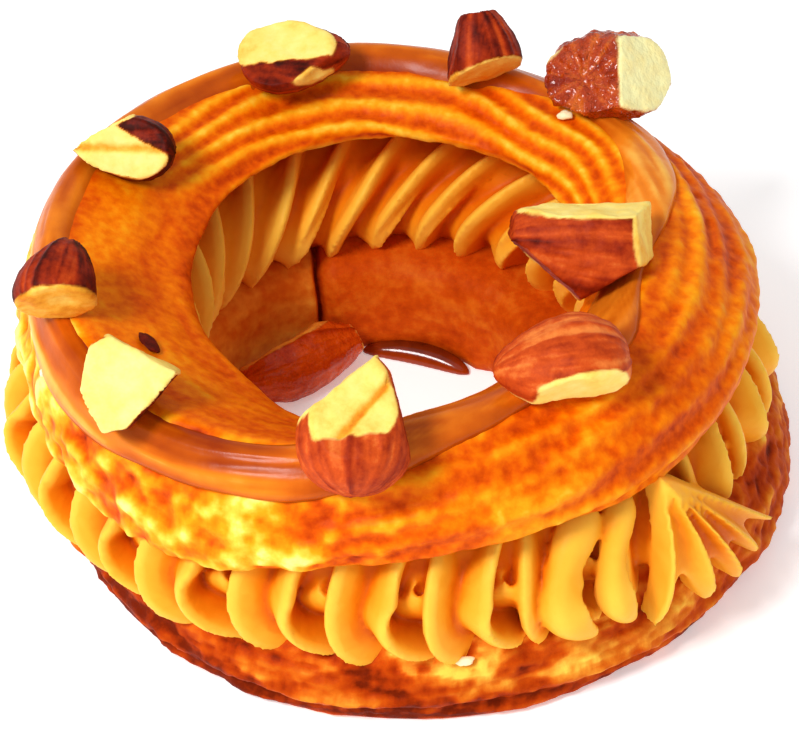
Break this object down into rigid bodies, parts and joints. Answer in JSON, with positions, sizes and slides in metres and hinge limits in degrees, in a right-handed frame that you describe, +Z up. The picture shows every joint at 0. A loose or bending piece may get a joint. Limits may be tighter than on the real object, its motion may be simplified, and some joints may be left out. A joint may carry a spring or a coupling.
{
  "type": "paris brest pastry",
  "caption": "Ring of split choux pastry with a piped coil of praline cream, a caramel-glazed lid and chopped roasted almonds on top.",
  "frame": {"origin": "on the resting plane, under the middle of the pastry's box", "axes": "+Z up through the hole; -Y is the side with the most cream and the tall upright almond; +X is to the right seen from -Y"},
  "size_m": [0.0878, 0.092, 0.0456],
  "materials": {
    "base_choux": null,
    "lid_choux": null,
    "praline_cream": null,
    "roasted_almond": null,
    "caramel_glaze": null
  },
  "bodies": {
    "root": {"base": "base_choux", "lid": "lid_choux", "cream": "praline_cream", "almond_back_left": "roasted_almond", "almond_left_back": "roasted_almond", "almond_left": "roasted_almond", "almond_left_front": "roasted_almond", "almond_front": "roasted_almond", "almond_right_front": "roasted_almond", "almond_right": "roasted_almond", "almond_back_right": "roasted_almond", "almond_back": "roasted_almond", "almond_fallen": "roasted_almond"}
  },
  "joints": []
}
